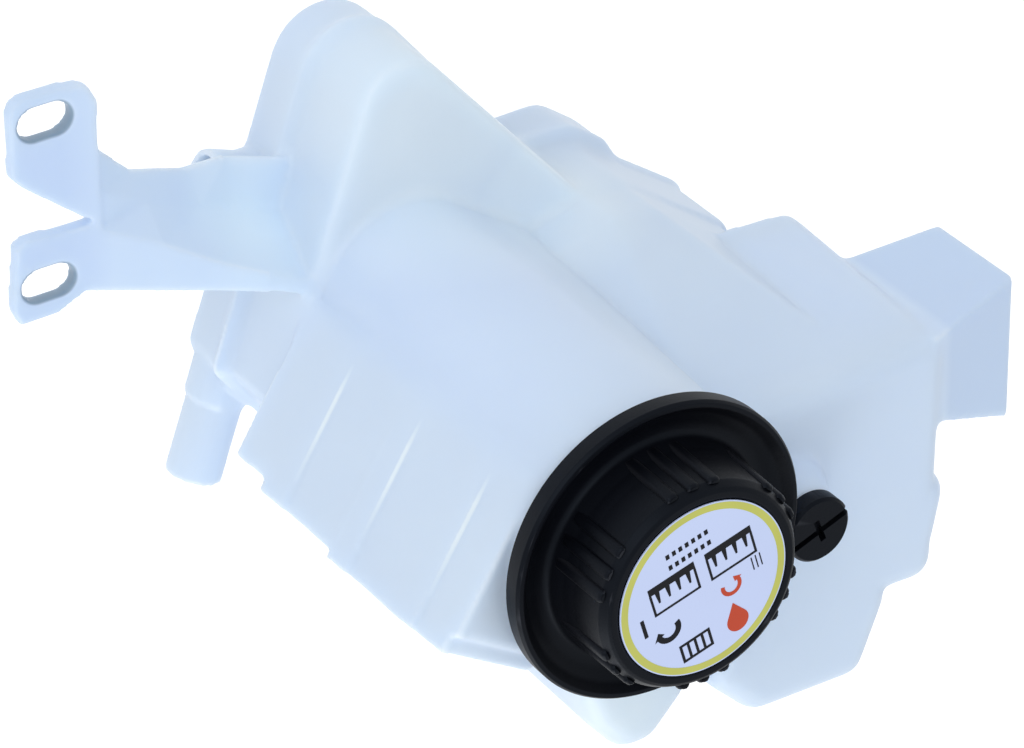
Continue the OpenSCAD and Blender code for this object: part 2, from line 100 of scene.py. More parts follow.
# The flat wall is turned about the neck and starts this far out, with a lead for the smoothing. It runs into
# the column between the first two places along it, and its crisp part starts at the third.
WALL_TURN = math.radians(-33.1)
WALL_START = 0.0372
WALL_LEAD = 0.006
WALL_BLEND = (-0.019, -0.002, 0.006)

# Plates that close the moulding behind the flat wall and under the column's foot: turn about the neck, then
# the spans outwards, along and up.
FOOT_TURN = math.radians(53.8)
CLOSINGS = (
    (WALL_TURN, (0.0072, 0.0104), (0.035, 0.0443), (0.022, 0.1)),
    (FOOT_TURN, (0.0366, 0.0394), (-0.0165, 0.0145), (0.0005, 0.0066)),
    (FOOT_TURN, (0.038, 0.042), (-0.0125, 0.0125), (0.004, 0.0066)))

# The side arm lies under the first x and the tabs beyond the second. Their painted shade fades in over each
# reach.
THIN_ENDS = ((-0.2228, -0.003), (-0.017, 0.012))

# One slot's middle, half the length of its straight part, its end radius, and how far from its wall the
# painted shade starts and is full. The other slot mirrors it.
SLOT_AT = (0.0015, 0.023)
SLOT_REACH = 0.003
SLOT_EDGE = 0.0045
SLOT_SKIN = (0.0009, 0.0003)

# Heights of the flat wall's ledges, half the height of the painted highlight line along each lip, how far in
# front of the wall it starts, and where the painted highlights fade in and out along the wall.
LEDGE_Z = (0.0288, 0.0593, 0.0888)
LEDGE_REACH = 0.0007
LEDGE_START = 0.002
LEDGE_NEAR = (-0.001, 0.008)
LEDGE_FAR = (0.036, 0.018)

# Places painted lighter where shade falls, in place of light coming through the wall: middle, radius of the
# full effect, radius of none.
PAINTED_LIGHT_SPOTS = (
    ((-0.118, 0.014, 0.003), 0.016, 0.052),
    ((-0.145, 0.042, 0.003), 0.01, 0.036),
    ((-0.068, 0.036, -0.012), 0.004, 0.03),
    ((-0.114, 0.153, 0.1), 0.012, 0.028))

# Springs: node, joint that flattens it, body that holds it, height of its held end, travel of the joint.
SPRINGS = (
    ("pressure_spring", "pressure_lift", "cap_valve", 0.1238, 0.003),
    ("vacuum_spring", "vacuum_drop", "pressure_valve", 0.109, 0.0015))

# Section of the neck's thread as radius and height, the height where it starts over the middle of the skirt,
# all in millimetres, and its steps in one turn.
THREAD_RIDGE = ((26.1, -1.2), (27.5, -0.4), (27.5, 0.4), (26.1, 1.2))
THREAD_FOOT = 2.6
THREAD_STEPS = 48

# Gap round the printed disc in its recess, in millimetres.
DISC_GAP = 0.3

# Straight steps in each rounded corner of the cap's section.
ARC_STEPS = 5

# Ribs of the grip, in millimetres: lowest and highest point, depth, how far they stay inside the CAD box,
# the height over which they lean in and by how much, and the rounding of their edges.
RIB_SPAN = (0.4, 20.9)
RIB_DEPTH = 2.4
RIB_INSET = 0.02
RIB_WAIST = 12
RIB_LEAN = 0.5
RIB_ROUND = 1.35

# Six groups of three ribs, in degrees round the neck.
RIB_TURNS = [-27 + group * 60 + k * 12 for group in range(6) for k in (-1, 0, 1)]

# The whole print is turned on the disc. The film and the ink on it are this thick. The ring stays this far
# inside the edge.
PRINT_TURN = math.radians(15)
FILM = 0.06 * MM
INK = FILM * 0.8
RING_INSET = 0.35 * MM

# Part of a noise's span over which a mottle runs.
MOTTLE_SPAN = (0.3, 0.7)

# Rounding of the small turned pieces.
SOFT_EDGE = 0.35 * MM

# Lamps: offset from the middle of the tank and width.
KEY_LAMP = (Vector((0.8, -0.85, 0.85)), 1.1)
SIDE_LAMP = (Vector((0.55, 1.0, 0.4)), 0.9)

# Floor: middle, half width, and strength of the glow that the camera sees.
FLOOR_AT = (-0.1, 0.05)
FLOOR_REACH = 8
FLOOR_GLOW = 0.35


class TankShellSettings(bpy.types.PropertyGroup):
    """Sizes and colours of the moulded tank."""

    grain: bpy.props.FloatProperty(
        name="Mesh grain", description="Cell of the moulded surface mesh", default=0.85 * MM, min=0.8 * MM,
        max=3 * MM, unit="LENGTH")
    faces: bpy.props.IntProperty(
        name="Faces", description="Triangles of the moulded surface mesh", default=185000, min=20000,
        max=195000)
    thread_pitch: bpy.props.FloatProperty(
        name="Thread pitch", description="Rise of the neck thread in one turn", default=5 * MM, unit="LENGTH")
    thread_turns: bpy.props.FloatProperty(
        name="Thread turns", description="Turns of the neck thread", default=2, min=1, max=2.2)
    soften: bpy.props.IntProperty(
        name="Softening", description="Smoothing steps on the painted edge highlights", default=10, min=0, max=30)
    fine_soften: bpy.props.IntProperty(
        name="Fine softening", description="Smoothing steps on the bracket and the stepped flat wall",
        default=2, min=0, max=30)
    shelf_soften: bpy.props.IntProperty(
        name="Shelf softening", description="Smoothing steps on the soft edges of the lobes",
        default=34, min=0, max=60)
    blend_soften: bpy.props.IntProperty(
        name="Blend softening", description="Smoothing steps where the flat wall runs into the column",
        default=60, min=0, max=90)
    colour: bpy.props.FloatVectorProperty(
        name="Plastic", description="Colour of the natural plastic", subtype="COLOR", size=3,
        default=(0.635, 0.75, 0.93), min=0, max=1)
    deep_colour: bpy.props.FloatVectorProperty(
        name="Deep plastic", description="Colour where the wall is seen deep", subtype="COLOR", size=3,
        default=(0.52, 0.63, 0.84), min=0, max=1)
    # Painted highlight: a lighter plastic colour on thin convex edges, in place of the light they catch.
    edge_highlight_colour: bpy.props.FloatVectorProperty(
        name="Edge", description="Colour of thin edges that catch the light", subtype="COLOR", size=3,
        default=(0.8, 0.88, 1.0), min=0, max=1)
    # Painted shade: a darker plastic colour on the single plates, standing in for the dimmer light of thin
    # translucent plates.
    thin_plate_shade_colour: bpy.props.FloatVectorProperty(
        name="Thin plate shade", description="Colour of the single plates of the tabs and the side arm",
        subtype="COLOR", size=3, default=(0.56, 0.68, 0.88), min=0, max=1)
    # Painted light: a lighter plastic colour where shade falls, in place of light coming through the wall.
    painted_through_light: bpy.props.FloatVectorProperty(
        name="Painted through light", description="Colour where much light comes through the wall",
        subtype="COLOR", size=3, default=(0.73, 0.85, 1.0), min=0, max=1)
    # Painted highlight: a lighter colour along the ledge lips, in place of the glint on their edges.
    ledge_lip_highlight_colour: bpy.props.FloatVectorProperty(
        name="Ledge highlights", description="Colour of the lips of the flat wall's ledges",
        subtype="COLOR", size=3, default=(0.78, 0.88, 1.0), min=0, max=1)
    # Painted shade: a dark blue-grey in the recessed slot walls.
    slot_shade_colour: bpy.props.FloatVectorProperty(
        name="Slot wall shade", description="Colour of the walls of the bracket's slots", subtype="COLOR", size=3,
        default=(0.25, 0.34, 0.44), min=0, max=1)


class CapSettings(bpy.types.PropertyGroup):
    """Sizes and colours of the screw cap and its disc."""

    grip_radius: bpy.props.FloatProperty(
        name="Grip radius", description="Radius of the grip between its ribs", default=30.2 * MM,
        unit="LENGTH")
    rib_height: bpy.props.FloatProperty(
        name="Rib height", description="How far the grip ribs stand out", default=1.5 * MM, unit="LENGTH")
    rib_width: bpy.props.FloatProperty(
        name="Rib width", description="Width of one grip rib", default=3.8 * MM, unit="LENGTH")
    disc_radius: bpy.props.FloatProperty(
        name="Disc radius", description="Radius of the printed disc", default=25.2 * MM, unit="LENGTH")
    ring_width: bpy.props.FloatProperty(
        name="Ring width", description="Width of the yellow ring", default=2.0 * MM, unit="LENGTH")
    black: bpy.props.FloatVectorProperty(
        name="Cap plastic", description="Colour of the black plastic", subtype="COLOR", size=3,
        default=(0.0018, 0.0021, 0.0036), min=0, max=1)
    # Painted highlight: a lighter colour on the cap's convex edges, in place of the light they catch.
    edge: bpy.props.FloatVectorProperty(
        name="Cap edge highlights", description="Colour of the edges that catch the light", subtype="COLOR", size=3,
        default=(0.02, 0.021, 0.026), min=0, max=1)
    paper: bpy.props.FloatVectorProperty(
        name="Disc", description="Colour of the printed disc", subtype="COLOR", size=3,
        default=(0.58, 0.665, 0.93), min=0, max=1)
    yellow: bpy.props.FloatVectorProperty(
        name="Ring", description="Colour of the printed ring", subtype="COLOR", size=3,
        default=(0.55, 0.56, 0.13), min=0, max=1)


class StageSettings(bpy.types.PropertyGroup):
    """Light and floor of the stage."""

    sky: bpy.props.FloatProperty(
        name="Sky", description="Strength of the even sky light", default=0.8, min=0, max=3)
    key: bpy.props.FloatProperty(
        name="Key", description="Power of the large soft lamp", default=4.5, min=0, max=200)
    side: bpy.props.FloatProperty(
        name="Side", description="Power of the soft lamp beside the spigots", default=4.5, min=0, max=200)
    floor_drop: bpy.props.FloatProperty(
        name="Floor drop", description="Height of the hung tank over the floor", default=0.11, unit="LENGTH")


def new_material(name):
    """An empty node material with its Principled shader and output."""
    material = bpy.data.materials.new(name)
    material.use_nodes = True
    nodes = material.node_tree.nodes
    nodes.clear()
    out = nodes.new("ShaderNodeOutputMaterial")
    shader = nodes.new("ShaderNodeBsdfPrincipled")
    material.node_tree.links.new(shader.outputs["BSDF"], out.inputs["Surface"])
    return material, nodes, material.node_tree.links, shader


def grain_group():
    """Fine moulded grain: a height and a slow mottle, both from Object coordinates."""
    name = "moulded grain"
    if name in bpy.data.node_groups:
        return bpy.data.node_groups[name]
    group = bpy.data.node_groups.new(name, "ShaderNodeTree")
    for label, value in (("Grain scale", 900.0), ("Mottle scale", 25.0)):
        socket = group.interface.new_socket(label, in_out="INPUT", socket_type="NodeSocketFloat")
        socket.default_value = value
    group.interface.new_socket("Height", in_out="OUTPUT", socket_type="NodeSocketFloat")
    group.interface.new_socket("Mottle", in_out="OUTPUT", socket_type="NodeSocketFloat")
    nodes, links = group.nodes, group.links
    source = nodes.new("NodeGroupInput")
    sink = nodes.new("NodeGroupOutput")
    place = nodes.new("ShaderNodeTexCoord")
    fine = nodes.new("ShaderNodeTexNoise")
    fine.inputs["Detail"].default_value = 3
    slow = nodes.new("ShaderNodeTexNoise")
    slow.inputs["Detail"].default_value = 2
    links.new(place.outputs["Object"], fine.inputs["Vector"])
    links.new(place.outputs["Object"], slow.inputs["Vector"])
    links.new(source.outputs["Grain scale"], fine.inputs["Scale"])
    links.new(source.outputs["Mottle scale"], slow.inputs["Scale"])
    links.new(fine.outputs["Fac"], sink.inputs["Height"])
    links.new(slow.outputs["Fac"], sink.inputs["Mottle"])
    return group


def use_grain(nodes, grain_scale, mottle_scale):
    """Places the grain group with its own values."""
    node = nodes.new("ShaderNodeGroup")
    node.node_tree = grain_group()
    node.inputs["Grain scale"].default_value = grain_scale
    node.inputs["Mottle scale"].default_value = mottle_scale
    return node


def edge_highlight_group():
    """Mask of the convex edges of a moulding, where a highlight is painted."""
    name = "painted edge highlights"
    if name in bpy.data.node_groups:
        return bpy.data.node_groups[name]
    group = bpy.data.node_groups.new(name, "ShaderNodeTree")
    for label, value in (("Low", 0.52), ("High", 0.56)):
        socket = group.interface.new_socket(label, in_out="INPUT", socket_type="NodeSocketFloat")
        socket.default_value = value
    group.interface.new_socket("Mask", in_out="OUTPUT", socket_type="NodeSocketFloat")
    nodes, links = group.nodes, group.links
    source = nodes.new("NodeGroupInput")
    sink = nodes.new("NodeGroupOutput")
    surface = nodes.new("ShaderNodeNewGeometry")
    spread = nodes.new("ShaderNodeMapRange")
    links.new(surface.outputs["Pointiness"], spread.inputs["Value"])
    links.new(source.outputs["Low"], spread.inputs["From Min"])
    links.new(source.outputs["High"], spread.inputs["From Max"])
    links.new(spread.outputs["Result"], sink.inputs["Mask"])
    return group


def use_edge_highlights(nodes, low, high):
    """Places the painted edge highlight group with its own values."""
    node = nodes.new("ShaderNodeGroup")
    node.node_tree = edge_highlight_group()
    node.inputs["Low"].default_value = low
    node.inputs["High"].default_value = high
    return node.outputs["Mask"]


def mixed(nodes, links, mask, near, far):
    """A colour that is near where the mask is 0 and far where it is 1."""
    blend = nodes.new("ShaderNodeMix")
    blend.data_type = "RGBA"
    links.new(mask, blend.inputs["Factor"])
    links.new(near, blend.inputs["A"])
    blend.inputs["B"].default_value = (*far, 1)
    return blend.outputs["Result"]


def math_node(nodes, links, operation, first, second=None):
    """A Math node on sockets or numbers."""
    node = nodes.new("ShaderNodeMath")
    node.operation = operation
    for slot, value in enumerate((first, second)):
        if value is None:
            continue
        if isinstance(value, (int, float)):
            node.inputs[slot].default_value = value
        else:
            links.new(value, node.inputs[slot])
    return node.outputs[0]


def place_of(nodes, links):
    """The three Object coordinates."""
    place = nodes.new("ShaderNodeTexCoord")
    split = nodes.new("ShaderNodeSeparateXYZ")
    links.new(place.outputs["Object"], split.inputs["Vector"])
    return split.outputs["X"], split.outputs["Y"], split.outputs["Z"]


def ramp_mask(nodes, links, value, none, full):
    """A mask that is 0 at one value and 1 at the other."""
    spread = nodes.new("ShaderNodeMapRange")
    spread.inputs["From Min"].default_value = none
    spread.inputs["From Max"].default_value = full
    links.new(value, spread.inputs["Value"])
    return spread.outputs["Result"]


def thin_plate_shade_mask(nodes, links):
    """Mask of the painted shade on the bracket's tabs at one end of the tank and the side arm at the other.
    """
    x = place_of(nodes, links)[0]
    arm, tabs = [ramp_mask(nodes, links, x, start, start + reach) for start, reach in THIN_ENDS]
    return math_node(nodes, links, "MAXIMUM", arm, tabs)


def turned_sum(nodes, links, operation, first, second, turn):
    """Adds or subtracts one value times the turn's cosine and another times its sine."""
    near = math_node(nodes, links, "MULTIPLY", first, math.cos(turn))
    far = math_node(nodes, links, "MULTIPLY", second, math.sin(turn))
    return math_node(nodes, links, operation, near, far)


def ledge_lip_highlight_mask(nodes, links):
    """Mask of the painted highlights on the lips of the flat wall's ledges, which fade out towards both ends.
    """
    x, y, z = place_of(nodes, links)
    x = math_node(nodes, links, "SUBTRACT", x, NECK.x)
    y = math_node(nodes, links, "SUBTRACT", y, NECK.y)
    out = turned_sum(nodes, links, "ADD", x, y, WALL_TURN)
    along = turned_sum(nodes, links, "SUBTRACT", y, x, WALL_TURN)
    lines = None
    for height in LEDGE_Z:
        away = math_node(nodes, links, "ABSOLUTE", math_node(nodes, links, "SUBTRACT", z, height))
        line = ramp_mask(nodes, links, away, LEDGE_REACH, LEDGE_REACH / 3)
        lines = line if lines is None else math_node(nodes, links, "MAXIMUM", lines, line)
    limits = ((out, WALL_START - LEDGE_START, WALL_START), (along, *LEDGE_NEAR), (along, *LEDGE_FAR))
    for value, none, full in limits:
        lines = math_node(nodes, links, "MULTIPLY", lines, ramp_mask(nodes, links, value, none, full))
    return lines


def painted_light_mask(nodes, links):
    """Mask of the places painted lighter where shade falls, in place of light coming through the wall."""
    place = nodes.new("ShaderNodeTexCoord")
    most = None
    for centre, full, none in PAINTED_LIGHT_SPOTS:
        away = nodes.new("ShaderNodeVectorMath")
        away.operation = "DISTANCE"
        away.inputs[1].default_value = centre
        links.new(place.outputs["Object"], away.inputs[0])
        spot = ramp_mask(nodes, links, away.outputs["Value"], none, full)
        most = spot if most is None else math_node(nodes, links, "MAXIMUM", most, spot)
    return most


def slot_shade_mask(nodes, links):
    """Mask of the painted shade on the walls of the two slots, which lie point-symmetric about the bracket's
    seat.
    """
    x, y = place_of(nodes, links)[:2]
    along = math_node(nodes, links, "MULTIPLY", x, math_node(nodes, links, "SIGN", y))
    along = math_node(nodes, links, "ABSOLUTE", math_node(nodes, links, "SUBTRACT", along, SLOT_AT[0]))
    along = math_node(nodes, links, "MAXIMUM", math_node(nodes, links, "SUBTRACT", along, SLOT_REACH), 0.0)
    across = math_node(nodes, links, "SUBTRACT", math_node(nodes, links, "ABSOLUTE", y), SLOT_AT[1])
    along = math_node(nodes, links, "MULTIPLY", along, along)
    across = math_node(nodes, links, "MULTIPLY", across, across)
    away = math_node(nodes, links, "SQRT", math_node(nodes, links, "ADD", along, across))
    return ramp_mask(nodes, links, away, SLOT_EDGE + SLOT_SKIN[0], SLOT_EDGE + SLOT_SKIN[1])


def add_bump(nodes, links, shader, grain, distance, strength):
    """Feeds the grain's height into the shader's normal."""
    bump = nodes.new("ShaderNodeBump")
    bump.inputs["Strength"].default_value = strength
    bump.inputs["Distance"].default_value = distance
    links.new(grain.outputs["Height"], bump.inputs["Height"])
    links.new(bump.outputs["Normal"], shader.inputs["Normal"])


def mottled(nodes, links, grain, near, far):
    """A colour that wanders from near to far with the grain's mottle."""
    ramp = nodes.new("ShaderNodeValToRGB")
    for element, position, colour in zip(ramp.color_ramp.elements, MOTTLE_SPAN, (near, far)):
        element.position = position
        element.color = (*colour, 1)
    links.new(grain.outputs["Mottle"], ramp.inputs["Fac"])
    return ramp.outputs["Color"]


def mottled_roughness(nodes, links, shader, grain, low, high):
    """Roughness that wanders with the grain's mottle."""
    spread = nodes.new("ShaderNodeMapRange")
    spread.inputs["To Min"].default_value = low
    spread.inputs["To Max"].default_value = high
    links.new(grain.outputs["Mottle"], spread.inputs["Value"])
    links.new(spread.outputs["Result"], shader.inputs["Roughness"])


def natural_plastic(settings):
    """Milky natural plastic with a faint mottle, fine grain and light scattered inside the wall, with painted
    light where shade falls, painted highlights on edges and ledge lips, and painted shade on the thin plates
    and in the slot walls.
    """
    material, nodes, links, shader = new_material("natural_tank_plastic")
    grain = use_grain(nodes, 1400.0, 22.0)
    colour = mottled(nodes, links, grain, settings.deep_colour, settings.colour)
    blend = nodes.new("ShaderNodeMix")
    blend.data_type = "RGBA"
    blend.inputs["Factor"].default_value = 0.8
    blend.inputs["B"].default_value = (*settings.colour, 1)
    links.new(colour, blend.inputs["A"])
    colour = blend.outputs["Result"]
    # Painted light and shade over the plastic colour: lighter spots, edge and ledge highlights, darker thin
    # plates and slot walls.
    layers = (
        (painted_light_mask(nodes, links), settings.painted_through_light),
        (use_edge_highlights(nodes, 0.515, 0.62), settings.edge_highlight_colour),
        (ledge_lip_highlight_mask(nodes, links), settings.ledge_lip_highlight_colour),
        (thin_plate_shade_mask(nodes, links), settings.thin_plate_shade_colour),
        (slot_shade_mask(nodes, links), settings.slot_shade_colour))
    for mask, tone in layers:
        colour = mixed(nodes, links, mask, colour, tone)
    links.new(colour, shader.inputs["Base Color"])
    mottled_roughness(nodes, links, shader, grain, 0.34, 0.46)
    add_bump(nodes, links, shader, grain, 0.00012, 0.12)
    shader.inputs["Subsurface Weight"].default_value = 0.5
    shader.inputs["Subsurface Radius"].default_value = (0.8, 0.85, 0.9)
    shader.inputs["Subsurface Scale"].default_value = 0.006
    shader.inputs["IOR"].default_value = 1.5
    return material


def black_plastic(settings):
    """Black moulded plastic with a fine spark texture and painted highlights on its edges."""
    material, nodes, links, shader = new_material("black_cap_plastic")
    grain = use_grain(nodes, 1600.0, 60.0)
    dark = tuple(settings.black)
    colour = mottled(nodes, links, grain, dark, tuple(c * 1.5 for c in dark))
    # Painted highlight on the convex edges.
    colour = mixed(nodes, links, use_edge_highlights(nodes, 0.53, 0.66), colour, settings.edge)
    shader.inputs["Specular IOR Level"].default_value = 0.14
    shader.inputs["Specular Tint"].default_value = (0.66, 0.8, 1.0, 1)
    links.new(colour, shader.inputs["Base Color"])
    mottled_roughness(nodes, links, shader, grain, 0.38, 0.5)
    add_bump(nodes, links, shader, grain, 0.0001, 0.35)
    return material


def printed_disc(settings):
    """Matt printed film with a slight mottle."""
    material, nodes, links, shader = new_material("printed_disc")
    grain = use_grain(nodes, 900.0, 40.0)
    paper = tuple(settings.paper)
    colour = mottled(nodes, links, grain, tuple(c * 0.97 for c in paper), paper)
    links.new(colour, shader.inputs["Base Color"])
    mottled_roughness(nodes, links, shader, grain, 0.3, 0.4)
    add_bump(nodes, links, shader, grain, 0.00005, 0.1)
    return material


def printed_ink(name, colour):
    """Ink of one colour on the disc, with a slight mottle."""
    material, nodes, links, shader = new_material(name)
    grain = use_grain(nodes, 900.0, 70.0)
    shade = mottled(nodes, links, grain, tuple(c * 0.93 for c in colour), tuple(colour))
    links.new(shade, shader.inputs["Base Color"])
    shader.inputs["Specular IOR Level"].default_value = 0.2
    mottled_roughness(nodes, links, shader, grain, 0.32, 0.42)
    return material


def seal_rubber():
    """Dull black rubber."""
    material, nodes, links, shader = new_material("seal_rubber")
    grain = use_grain(nodes, 1100.0, 80.0)
    colour = mottled(nodes, links, grain, (0.015, 0.015, 0.016), (0.03, 0.03, 0.032))
    links.new(colour, shader.inputs["Base Color"])
    mottled_roughness(nodes, links, shader, grain, 0.6, 0.8)
    add_bump(nodes, links, shader, grain, 0.0001, 0.3)
    return material


def drawn_metal(name, near, far):
    """Bare metal with fine drawn streaks."""
    material, nodes, links, shader = new_material(name)
    grain = use_grain(nodes, 2200.0, 120.0)
    colour = mottled(nodes, links, grain, near, far)
    links.new(colour, shader.inputs["Base Color"])
    mottled_roughness(nodes, links, shader, grain, 0.25, 0.4)
    add_bump(nodes, links, shader, grain, 0.00005, 0.2)
    shader.inputs["Metallic"].default_value = 1.0
    return material


def dress(node, material):
    """Gives a node of the frame one material."""
    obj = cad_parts[node]
    obj.data.materials.clear()
    obj.data.materials.append(material)
    return obj


def add_piece(name, bm, body, material, smooth):
    """Makes an object of a bmesh, rides it and shades it smooth up to an angle."""
    bmesh.ops.recalc_face_normals(bm, faces=bm.faces)
    mesh = bpy.data.meshes.new(name)
    bm.to_mesh(mesh)
    bm.free()
    obj = bpy.data.objects.new(name, mesh)
    bpy.context.scene.collection.objects.link(obj)
    mesh.materials.append(material)
    mesh.polygons.foreach_set("use_smooth", [True] * len(mesh.polygons))
    mesh.set_sharp_from_angle(angle=math.radians(smooth))
    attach(obj, body)
    return obj


def baked(obj):
    """Turns an object's modifiers into its mesh."""
    graph = bpy.context.evaluated_depsgraph_get()
    old = obj.data
    mesh = bpy.data.meshes.new_from_object(obj.evaluated_get(graph))
    obj.modifiers.clear()
    obj.data = mesh
    bpy.data.meshes.remove(old)
    return mesh


def smoothing_steps(place, settings):
    """Few steps on the bracket and the flat wall's ledges, many where that wall runs into the column."""
    if place.x > BRACKET_START and place.z < BRACKET_TOP:
        return settings.fine_soften
    x, y = place.x - NECK.x, place.y - NECK.y
    out = x * math.cos(WALL_TURN) + y * math.sin(WALL_TURN)
    along = y * math.cos(WALL_TURN) - x * math.sin(WALL_TURN)
    if SHELF_Z[0] < place.z < SHELF_Z[1] and place.y < SHELF_END:
        return settings.shelf_soften
    if out < WALL_START - WALL_LEAD or place.z < BRACKET_TOP:
        return settings.soften
    if WALL_BLEND[0] < along < WALL_BLEND[1]:
        return settings.blend_soften
    if along < WALL_BLEND[0] or out < WALL_START:
        return settings.soften
    if along < WALL_BLEND[2]:
        share = (along - WALL_BLEND[1]) / (WALL_BLEND[2] - WALL_BLEND[1])
        return round(settings.blend_soften + (settings.fine_soften - settings.blend_soften) * share)
    return settings.fine_soften


def moulded_skin(name, nodes, body, material, settings):
    """One soft-edged moulding in place of the welded solids, with the closing plates fused in."""
    bm = bmesh.new()
    for node in nodes:
        bm.from_mesh(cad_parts[node].data)
    bmesh.ops.remove_doubles(bm, verts=bm.verts, dist=1e-6)
    for turn, *spans in CLOSINGS:
        plate = bmesh.ops.create_cube(bm, size=1)["verts"]
        bmesh.ops.scale(bm, vec=[high - low for low, high in spans], verts=plate)
        bmesh.ops.translate(bm, vec=[(low + high) / 2 for low, high in spans], verts=plate)
        bmesh.ops.rotate(bm, cent=(0, 0, 0), matrix=Matrix.Rotation(turn, 3, "Z"), verts=plate)
        bmesh.ops.translate(bm, vec=NECK, verts=plate)
    mesh = bpy.data.meshes.new(name)
    bm.to_mesh(mesh)
    bm.free()
    obj = bpy.data.objects.new(name, mesh)
    bpy.context.scene.collection.objects.link(obj)
    remesh = obj.modifiers.new("moulded skin", "REMESH")
    remesh.mode = "VOXEL"
    remesh.voxel_size = settings.grain
    mesh = baked(obj)
    bm = bmesh.new()
    bm.from_mesh(mesh)
    wanted = [(v, smoothing_steps(v.co, settings)) for v in bm.verts]
    for step in range(settings.blend_soften):
        wanted = [(v, steps) for v, steps in wanted if steps > step]
        bmesh.ops.smooth_vert(
            bm, verts=[v for v, steps in wanted], factor=0.5,
            use_axis_x=True, use_axis_y=True, use_axis_z=True)
    bm.to_mesh(mesh)
    bm.free()
    thin = obj.modifiers.new("even mesh", "DECIMATE")
    thin.ratio = min(1.0, settings.faces / (2 * len(mesh.polygons)))
    mesh = baked(obj)
    mesh.materials.clear()
    mesh.materials.append(material)
    mesh.polygons.foreach_set("use_smooth", [True] * len(mesh.polygons))
    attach(obj, body)
    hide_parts(*nodes)
    return obj


def turned(points, steps):
    """Spins a closed profile of (radius, height) points in millimetres about the neck axis."""
    bm = bmesh.new()
    verts = [bm.verts.new((NECK.x + r * MM, NECK.y, SKIRT_Z + z * MM)) for r, z in points]
    edges = [bm.edges.new((verts[i], verts[i + 1])) for i in range(len(verts) - 1)]
    bmesh.ops.spin(
        bm, geom=verts + edges, cent=NECK, axis=(0, 0, 1), angle=math.tau, steps=steps, use_merge=True)
    bmesh.ops.remove_doubles(bm, verts=bm.verts, dist=1e-7)
    return bm


def rounded(points, corners):
    """Replaces marked corners of a profile by short arcs of the given radius."""
    out = []
    for i, (r, z) in enumerate(points):
        if i not in corners:
            out.append((r, z))
            continue
        here = Vector((r, z))
        before = Vector(points[i - 1]) - here
        after = Vector(points[i + 1]) - here
        half = before.angle(after) / 2
        radius = corners[i]
        reach = min(radius / math.tan(half), before.length * 0.48, after.length * 0.48)
        radius = reach * math.tan(half)
        middle = here + (before.normalized() + after.normalized()).normalized() * radius / math.sin(half)
        start = here + before.normalized() * reach - middle
        end = here + after.normalized() * reach - middle
        for k in range(ARC_STEPS + 1):
            step = start.lerp(end, k / ARC_STEPS)
            out.append(tuple(middle + step.normalized() * radius))
    return out


class TANK_OT_shells(bpy.types.Operator):
    """Soft moulded skins on both tank shells"""

    bl_idname = "tank.shells"
    bl_label = "Tank shells"

    def execute(self, context):
        settings = context.scene.tank_shells
        plastic = natural_plastic(settings)
        shells = ("upper_shell", "lower_shell")
        for node in shells:
            dress(node, plastic)
        moulded_skin("tank_moulding", shells, "tank", plastic, settings)
        return {"FINISHED"}


class TANK_OT_thread(bpy.types.Operator):
    """Screw thread round the filler neck, seen when the cap is off"""

    bl_idname = "tank.thread"
    bl_label = "Neck thread"

    def execute(self, context):
        settings = context.scene.tank_shells
        steps = int(THREAD_STEPS * settings.thread_turns)
        bm = bmesh.new()
        verts = [
            bm.verts.new((NECK.x + r * MM, NECK.y, SKIRT_Z + (THREAD_FOOT + z) * MM))
            for r, z in THREAD_RIDGE]
        edges = [bm.edges.new((verts[i - 1], verts[i])) for i in range(len(verts))]
        spun = bmesh.ops.spin(
            bm, geom=verts + edges, cent=NECK, axis=(0, 0, 1),
            dvec=(0, 0, settings.thread_pitch / THREAD_STEPS),
            angle=math.tau * settings.thread_turns, steps=steps, use_merge=False)
        last = [v for v in spun["geom_last"] if isinstance(v, bmesh.types.BMVert)]
        bm.faces.new(verts)
        bmesh.ops.contextual_create(bm, geom=last)
        add_piece("neck_thread", bm, "tank", bpy.data.materials["natural_tank_plastic"], 50)
        return {"FINISHED"}


